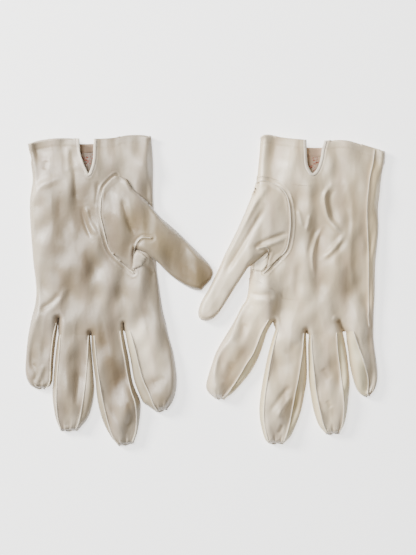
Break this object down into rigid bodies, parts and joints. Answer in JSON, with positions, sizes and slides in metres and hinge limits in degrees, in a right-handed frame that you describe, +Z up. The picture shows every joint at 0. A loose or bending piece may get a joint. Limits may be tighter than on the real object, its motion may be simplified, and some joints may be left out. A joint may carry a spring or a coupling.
{
  "type": "dress gloves",
  "caption": "Pair of wrist-length satin dress gloves lying flat, palm side up, with gusseted thumbs, side-stripped fingers and an open wrist vent.",
  "frame": {"origin": "middle of the pair's footprint on the surface the gloves lie on", "axes": "+X across the pair, from the left-hand glove to the right-hand glove; +Y towards the cuffs, fingertips towards -Y; +Z up, away from the surface, out of the palms"},
  "size_m": [0.2598, 0.2244, 0.0145],
  "materials": {
    "palm_satin": "ivory satin-faced nylon knit, soft sheen along the length",
    "back_satin": "ivory satin-faced nylon knit, back of the hand",
    "fourchette_satin": "ivory satin-faced nylon knit, slightly yellowed side strips",
    "thumb_satin": "ivory satin-faced nylon knit, thumb piece",
    "trim_satin": "folded and stitched edge of the same knit, a little lighter",
    "seam_allowance": "raw inner side of the knit, matte"
  },
  "bodies": {
    "left_hand": {"left_palm_panel": "palm_satin", "left_back_panel": "back_satin", "left_vent_facing": "trim_satin", "left_palm_hem_outer": "trim_satin", "left_palm_hem_inner": "trim_satin", "left_back_hem": "back_satin", "left_side_seam": "seam_allowance", "left_thumb_gusset": "thumb_satin", "left_thumb_quirk": "thumb_satin"},
    "left_thumb": {"left_thumb_palm_side": "thumb_satin", "left_thumb_back_side": "back_satin"},
    "left_index": {"left_index_palm_side": "palm_satin", "left_index_back_side": "back_satin", "left_index_fourchette": "fourchette_satin"},
    "left_middle": {"left_middle_palm_side": "palm_satin", "left_middle_back_side": "back_satin", "left_middle_fourchette_outer": "fourchette_satin", "left_middle_fourchette_inner": "fourchette_satin"},
    "left_ring": {"left_ring_palm_side": "palm_satin", "left_ring_back_side": "back_satin", "left_ring_fourchette_outer": "fourchette_satin", "left_ring_fourchette_inner": "fourchette_satin"},
    "left_pinky": {"left_pinky_palm_side": "palm_satin", "left_pinky_back_side": "back_satin", "left_pinky_fourchette": "fourchette_satin"},
    "right_hand": {"right_palm_panel": "palm_satin", "right_back_panel": "back_satin", "right_vent_facing": "trim_satin", "right_palm_hem_outer": "trim_satin", "right_palm_hem_inner": "trim_satin", "right_back_hem": "back_satin", "right_side_seam": "seam_allowance", "right_thumb_gusset": "thumb_satin", "right_thumb_quirk": "thumb_satin"},
    "right_thumb": {"right_thumb_palm_side": "thumb_satin", "right_thumb_back_side": "back_satin"},
    "right_index": {"right_index_palm_side": "palm_satin", "right_index_back_side": "back_satin", "right_index_fourchette": "fourchette_satin"},
    "right_middle": {"right_middle_palm_side": "palm_satin", "right_middle_back_side": "back_satin", "right_middle_fourchette_inner": "fourchette_satin", "right_middle_fourchette_outer": "fourchette_satin"},
    "right_ring": {"right_ring_palm_side": "palm_satin", "right_ring_back_side": "back_satin", "right_ring_fourchette_inner": "fourchette_satin", "right_ring_fourchette_outer": "fourchette_satin"},
    "right_pinky": {"right_pinky_palm_side": "palm_satin", "right_pinky_back_side": "back_satin", "right_pinky_fourchette": "fourchette_satin"}
  },
  "joints": [
    {"name": "left_thumb_curl", "type": "hinge", "parent": "left_hand", "child": "left_thumb", "pos_m": [-0.03458, 0.03656, 0.012], "axis": [-0.6454, -0.7639, 0], "range_deg": [0, 70]},
    {"name": "left_index_curl", "type": "hinge", "parent": "left_hand", "child": "left_index", "pos_m": [-0.04351, -0.0268, 0.012], "axis": [-1, 0, 0], "range_deg": [0, 90]},
    {"name": "left_middle_curl", "type": "hinge", "parent": "left_hand", "child": "left_middle", "pos_m": [-0.07112, -0.03094, 0.012], "axis": [-1, 0, 0], "range_deg": [0, 90]},
    {"name": "left_ring_curl", "type": "hinge", "parent": "left_hand", "child": "left_ring", "pos_m": [-0.09488, -0.0322, 0.012], "axis": [-1, 0, 0], "range_deg": [0, 90]},
    {"name": "left_pinky_curl", "type": "hinge", "parent": "left_hand", "child": "left_pinky", "pos_m": [-0.11645, -0.02284, 0.012], "axis": [-1, 0, 0], "range_deg": [0, 90]},
    {"name": "right_thumb_curl", "type": "hinge", "parent": "right_hand", "child": "right_thumb", "pos_m": [0.02244, 0.02151, 0.012], "axis": [-0.8781, 0.4785, 0], "range_deg": [0, 70]},
    {"name": "right_index_curl", "type": "hinge", "parent": "right_hand", "child": "right_index", "pos_m": [0.0376, -0.01693, 0.012], "axis": [-1, 0, 0], "range_deg": [0, 90]},
    {"name": "right_middle_curl", "type": "hinge", "parent": "right_hand", "child": "right_middle", "pos_m": [0.06157, -0.02968, 0.012], "axis": [-1, 0, 0], "range_deg": [0, 90]},
    {"name": "right_ring_curl", "type": "hinge", "parent": "right_hand", "child": "right_ring", "pos_m": [0.08684, -0.03112, 0.012], "axis": [-1, 0, 0], "range_deg": [0, 90]},
    {"name": "right_pinky_curl", "type": "hinge", "parent": "right_hand", "child": "right_pinky", "pos_m": [0.11136, -0.02871, 0.012], "axis": [-1, 0, 0], "range_deg": [0, 90]},
    {"name": "right_glove_apart", "type": "slide", "parent": "left_hand", "child": "right_hand", "axis": [1, 0, 0], "range_m": [0, 0.12]}
  ]
}
